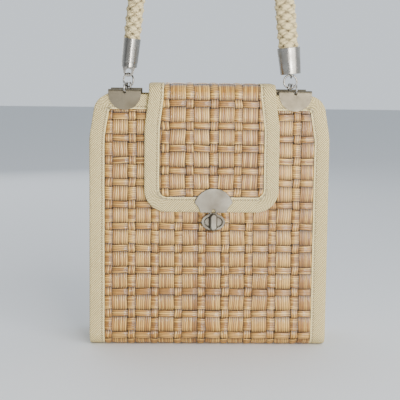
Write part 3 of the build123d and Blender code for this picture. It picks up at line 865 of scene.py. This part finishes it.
corner_u = half_side(top_z) - shoulder_in
box_edge = (
    (-corner_u, 0, 15 * mm), (corner_u, 0, 15 * mm),
    (half_side(top_z - shoulder_down), shoulder_down, 60 * mm), (half_side(0), box_length / 2, 60 * mm),
    (half_side(top_z - shoulder_down), box_length - shoulder_down, 60 * mm), (corner_u, box_length, 15 * mm),
    (-corner_u, box_length, 15 * mm),
    (-half_side(top_z - shoulder_down), box_length - shoulder_down, 60 * mm),
    (-half_side(0), box_length / 2, 60 * mm), (-half_side(top_z - shoulder_down), shoulder_down, 60 * mm),
)
box_tape = fold_tape("box_tape", on_box, box_edge, 1, mat_thick)
box_thread = sew("box_thread", on_box, box_edge, 1, True, stitch_in, (0.0, -mat_thick))
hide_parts("body_binding")
taped = [(box_tape, cream_tape, "bag"), (box_thread, cream_thread, "bag")]

for side, side_name in ((-1, "left"), (1, "right")):
    on_side = side_place(side)
    side_edge = (
        (-half_section(mat_thick) + mat_thick, mat_thick, 7.4 * mm),
        (half_section(mat_thick) - mat_thick, mat_thick, 7.4 * mm),
        (half_section(side_top_z) - mat_thick, side_top_z, side_corner),
        (-half_section(side_top_z) + mat_thick, side_top_z, side_corner),
    )
    side_tape = fold_tape("side_tape_" + side_name, on_side, side_edge, 1, mat_thick)
    side_thread = sew("side_thread_" + side_name, on_side, side_edge, 1, True, stitch_in, (0.0,))
    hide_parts("gusset_binding_" + side_name)
    taped += [(side_tape, cream_tape, "bag"), (side_thread, cream_thread, "bag")]

flap_top_at = flap_length - (top_z - flap_end_z) / cos(front_lean)
flap_widest_at = flap_top_at + 28 * mm
flap_edge = (
    (flap_middle - 53.5 * mm, 0.3 * mm, 0), (flap_middle - 53.5 * mm, flap_top_at, 60 * mm),
    (flap_middle - 57 * mm, flap_widest_at, 60 * mm), (flap_middle - 57 * mm, flap_length, 19 * mm),
    (flap_middle + 57 * mm, flap_length, 19 * mm), (flap_middle + 57 * mm, flap_widest_at, 60 * mm),
    (flap_middle + 53.5 * mm, flap_top_at, 60 * mm), (flap_middle + 53.5 * mm, 0.3 * mm, 0),
)
flap_tape = fold_tape("flap_tape", on_flap, flap_edge, -1, flap_thick, closed=False)
flap_thread = sew("flap_thread", on_flap, flap_edge, -1, False, stitch_in, (0.0, -flap_thick))
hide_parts("flap_binding")
taped += [(flap_tape, cream_tape, "flap"), (flap_thread, cream_thread, "flap")]
for piece, finish, body in taped:
    piece.data.materials.append(finish)
    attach(piece, body)

# ---- the cloth hinge ----
# A length of the same tape is sewn flat on the back panel, level with the mouth, along both
# of its edges. The flap turns on it.
hinge_half, hinge_tall, hinge_thick = 53.5 * mm, 12.7 * mm, 0.75 * mm
hinge_section = (
    (0.0, 0.05 * mm, 1), (0.0, hinge_thick, 1), (0.5 * mm, hinge_thick + 0.1 * mm, 0.8),
    (2.0 * mm, hinge_thick - 0.05 * mm, 0), (3.0 * mm, hinge_thick + 0.1 * mm, 0.4),
    (6.4 * mm, hinge_thick + 0.12 * mm, 0.4), (9.8 * mm, hinge_thick + 0.1 * mm, 0.4),
    (10.8 * mm, hinge_thick - 0.05 * mm, 0), (12.2 * mm, hinge_thick + 0.1 * mm, 0.8),
    (hinge_tall, hinge_thick, 1),
    (hinge_tall, 0.05 * mm, 1),
)


def on_back(x, down, h):
    """A point on the back panel: across it, down from the mouth, and out from its face."""
    return on_box(x, box_length - down, h)


verts, uvs, tones, faces = [], [], [], []
hinge_steps = 170
for i in range(hinge_steps + 1):
    x = flap_middle - hinge_half + 2 * hinge_half * i / hinge_steps
    for down, h, out in hinge_section:
        scallop = 0.12 * mm * abs(sin(pi * x / pick_pitch)) if out == 1 else 0
        if down < hinge_tall / 2:
            scallop = -scallop
        verts.append(on_back(x, down + scallop, h))
        uvs.append((down, x))
        # Tone 0 marks the stitch grooves, where painted shade goes; 1 marks the selvedges.
        tones.append(0.0 if out == 0 else 1.0 if out >= 0.8 else 0.6)
n = len(hinge_section)
for i in range(hinge_steps):
    for j in range(n):
        k = (j + 1) % n
        faces.append((i * n + j, i * n + k, (i + 1) * n + k, (i + 1) * n + j))
faces += [tuple(range(n)), tuple(range(hinge_steps * n, (hinge_steps + 1) * n))]
hinge_cloth = new_piece("hinge_cloth", verts, faces, uvs, tones)
outward(hinge_cloth)
hinge_line = (
    (flap_middle - hinge_half + mm, box_length - 2 * mm, 0),
    (flap_middle + hinge_half - mm, box_length - 2 * mm, 0),
)
hinge_thread = sew("hinge_thread", on_box, hinge_line, 1, False, 0, (hinge_thick,))
lower_line = tuple((u, v - 8.8 * mm, r) for u, v, r in hinge_line)
lower_thread = sew("hinge_thread_lower", on_box, lower_line, 1, False, 0, (hinge_thick,))
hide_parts("hinge_tape")
for piece, finish in ((hinge_cloth, cream_tape), (hinge_thread, cream_thread), (lower_thread, cream_thread)):
    piece.data.materials.append(finish)
    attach(piece, "bag")

# ---- the cloth linings ----
# The box is lined with plain tan cotton, hemmed a little below the mouth and slack enough to
# pucker. The flap's inside is covered with the same cloth, between the tapes.
lining_top, lining_bottom = 199 * mm, 2.6 * mm
lining_outer, lining_thick = 3.6 * mm, 0.8 * mm
levels = 40
around_count = 96
verts, faces, uvs = [], [], []


def pocket_ring(z, draw, swell):
    """A level of the lining: a rounded box round the inside of the bag."""
    half_x = drawn_in(z) - lining_outer - lining_thick / 2
    half_y = half_section(z) - mat_thick - lining_thick / 2
    ring = []
    for j in range(around_count):
        angle = 2 * pi * (j + 0.5) / around_count
        c, s = cos(angle), sin(angle)
        x = half_x * min(max(1.2 * c, -1), 1)
        y = half_y * min(max(1.2 * s, -1), 1)
        inward = swell * mm * (0.22 + 0.22 * sin(x * 130 + z * 40) * cos(y * 210 + z * 75))
        in_x, in_y = (inward if x > 0 else -inward), (inward if y > 0 else -inward)
        ring.append(Vector((x * (1 - draw) - in_x, y * (1 - draw) - in_y, z)))
    return ring


base_z = lining_bottom + lining_thick / 2 + 0.2 * mm
rings = [pocket_ring(base_z, draw, 0.6) for draw in (0.98, 0.8, 0.6, 0.4, 0.2, 0.08)]
rings += [
    pocket_ring(lining_bottom + lining_thick + (lining_top - lining_bottom - lining_thick) * i / levels,
                max(0.25 * (1 - i / 2.0), 0) ** 2, min(1.0, 0.4 + i / 6, (levels - i) / 4))
    for i in range(levels + 1)
]
for ring in rings:
    for p in ring:
        verts.append(p)
        uvs.append((p.x, p.z + p.y))
for i in range(len(rings) - 1):
    for j in range(around_count):
        k = (j + 1) % around_count
        a, b = i * around_count, (i + 1) * around_count
        faces.append((a + j, b + j, b + k, a + k))
faces.append(tuple(range(around_count)))
bag_lining = new_piece("bag_lining", verts, faces, uvs)
face_out(bag_lining, lambda p: Vector((-p.x * 0.1, -p.y, 60 * mm - p.z if p.z < 6 * mm else 0)))
wall = bag_lining.modifiers.new("wall", "SOLIDIFY")
wall.thickness, wall.offset = 0.5 * mm, -1
bpy.context.view_layer.objects.active = bag_lining
bpy.ops.object.modifier_apply(modifier="wall")
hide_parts("lining")

flap_cloth = ground(
    "flap_cloth", on_flap_centred, lambda v: 42.5 * mm,
    (0.6 * mm, flap_length - 11.5 * mm), 90, -3.35 * mm, -2.65 * mm,
)
for v in flap_cloth.data.vertices:
    v.co.y += 0.1 * mm * sin(v.co.x * 300) * cos(v.co.z * 210)
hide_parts("flap_lining")

tan_cotton, add, blend, join = material_nodes("tan_cotton", (0.42, 0.31, 0.18), 0.85, Sheen_Weight=0.2)
place = add("TexCoord")
warp = add("TexWave", {"bands_direction": "X"}, Vector=place.outputs["Object"], Scale=700.0, Distortion=0.6)
weft = add("TexWave", {"bands_direction": "Z"}, Vector=place.outputs["Object"], Scale=700.0, Distortion=0.6)
threads = add("Math", {"operation": "MULTIPLY"}, i0=warp.outputs["Fac"], i1=weft.outputs["Fac"])
faded = add("TexNoise", Vector=place.outputs["Object"], Scale=18.0, Detail=4.0)
cloth_tone = blend(faded.outputs["Fac"], (0.36, 0.26, 0.14), (0.50, 0.39, 0.24))
join(blend(threads.outputs["Value"], cloth_tone, (0.55, 0.44, 0.28)), "Base Color")
bump = add("Bump", Height=threads.outputs["Value"], Strength=0.3, Distance=0.0002)
join(bump.outputs["Normal"], "Normal")
for piece, body in ((bag_lining, "bag"), (flap_cloth, "flap")):
    piece.data.materials.append(tan_cotton)
    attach(piece, body)

# ---- the satin nickel fittings ----
# Folded corner plates, wire links and rings, and the rope's end caps with their eyes are
# nickel-plated steel, brushed and a little worn, with their edges rounded in the tumbler.
def worn_nickel(name, bright, dull, roughness, dirt):
    """Nickel plate with a brushed grain, a haze of wear and a few dark spots."""
    material, add, blend, join = material_nodes(name, bright, roughness, Metallic=1.0)
    place = add("TexCoord")
    haze = add("TexNoise", Vector=place.outputs["Object"], Scale=60.0, Detail=4.0, Roughness=0.55)
    brushed = add("Mapping", Vector=place.outputs["Object"], Scale=(2600.0, 2600.0, 160.0))
    scratch = add("TexNoise", Vector=brushed.outputs["Vector"], Scale=1.0, Detail=2.0)
    spots = add("TexNoise", Vector=place.outputs["Object"], Scale=420.0, Detail=4.0, Roughness=0.75)
    spotted = add("MapRange", Value=spots.outputs["Fac"], i1=0.68, i2=0.85)
    hazed = add("MapRange", Value=haze.outputs["Fac"], i1=0.35, i2=0.68)
    metal = blend(hazed.outputs["Result"], bright, dull)
    join(blend(spotted.outputs["Result"], metal, dirt), "Base Color")
    rough_base = add(
        "MapRange", Value=haze.outputs["Fac"], i1=0.3, i2=0.7, i3=roughness - 0.07, i4=roughness + 0.12
    )
    rough = add("Math", scaled, i0=spotted.outputs["Result"], i1=0.25, i2=rough_base.outputs["Result"])
    join(rough.outputs["Value"], "Roughness")
    height = add("Math", scaled, i0=haze.outputs["Fac"], i1=0.5, i2=scratch.outputs["Fac"])
    bump = add("Bump", Height=height.outputs["Value"], Strength=0.05, Distance=0.00005)
    join(bump.outputs["Normal"], "Normal")
    return material


def tumbled(node, body, finish, rounding, segments=2):
    """A fitting with its pressed edges rounded over, standing for its plain shape."""
    shape = bmesh.new()
    shape.from_mesh(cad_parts[node].data)
    bmesh.ops.remove_doubles(shape, verts=shape.verts, dist=1e-6)
    bmesh.ops.dissolve_limit(shape, angle_limit=radians(1), verts=shape.verts, edges=shape.edges)
    mesh = bpy.data.meshes.new(node + "_finished")
    shape.to_mesh(mesh)
    shape.free()
    piece = bpy.data.objects.new(node + "_finished", mesh)
    scene.collection.objects.link(piece)
    bpy.ops.object.select_all(action="DESELECT")
    piece.select_set(True)
    bpy.context.view_layer.objects.active = piece
    if rounding:
        edges = piece.modifiers.new("edges", "BEVEL")
        edges.width, edges.segments, edges.limit_method = rounding, segments, "ANGLE"
        edges.angle_limit = radians(38)
        edges.use_clamp_overlap = True
        bpy.ops.object.modifier_apply(modifier="edges")
    bpy.ops.object.shade_smooth_by_angle(angle=radians(35))
    if rounding:
        even = piece.modifiers.new("even", "WEIGHTED_NORMAL")
        even.keep_sharp, even.weight = True, 100
        bpy.ops.object.modifier_apply(modifier="even")
    piece.data.materials.clear()
    piece.data.materials.append(finish)
    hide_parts(node)
    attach(piece, body)
    return piece


satin_nickel = worn_nickel("satin_nickel", (0.50, 0.48, 0.44), (0.36, 0.335, 0.29), 0.24, (0.16, 0.12, 0.08))
aged_nickel = worn_nickel("aged_nickel", (0.23, 0.215, 0.175), (0.15, 0.13, 0.10), 0.36, (0.08, 0.06, 0.036))
plate_nickel = worn_nickel(
    "plate_nickel", (0.21, 0.182, 0.13), (0.155, 0.13, 0.088), 0.42, (0.10, 0.075, 0.05)
)
for side_name in ("left", "right"):
    for face_name in ("front", "back"):
        tumbled(f"corner_plate_{face_name}_{side_name}", "bag", plate_nickel, 0.4 * mm)
        tumbled(f"link_{face_name}_{side_name}", f"link_{face_name}_{side_name}", satin_nickel, 0)
    tumbled(f"ring_{side_name}", "handle", satin_nickel, 0)
    tumbled(f"eye_{side_name}", "handle", satin_nickel, 0.25 * mm)
    tumbled(f"ferrule_{side_name}", "handle", satin_nickel, 0.3 * mm)

# ---- the turn lock ----
# A domed hasp on the flap's edge carries an oval loop, which drops over a boss on the front.
# The knob on the boss turns across the loop to hold it. All are die-cast and darkly aged.
tumbled("hasp_plate", "flap", aged_nickel, 0.3 * mm)
tumbled("lock_base", "bag", aged_nickel, 0.2 * mm)
tumbled("turn_knob", "knob", aged_nickel, 0.15 * mm)
tumbled("lock_backing", "bag", satin_nickel, 0.15 * mm)
tumbled("hasp_backing", "flap", satin_nickel, 0.15 * mm)
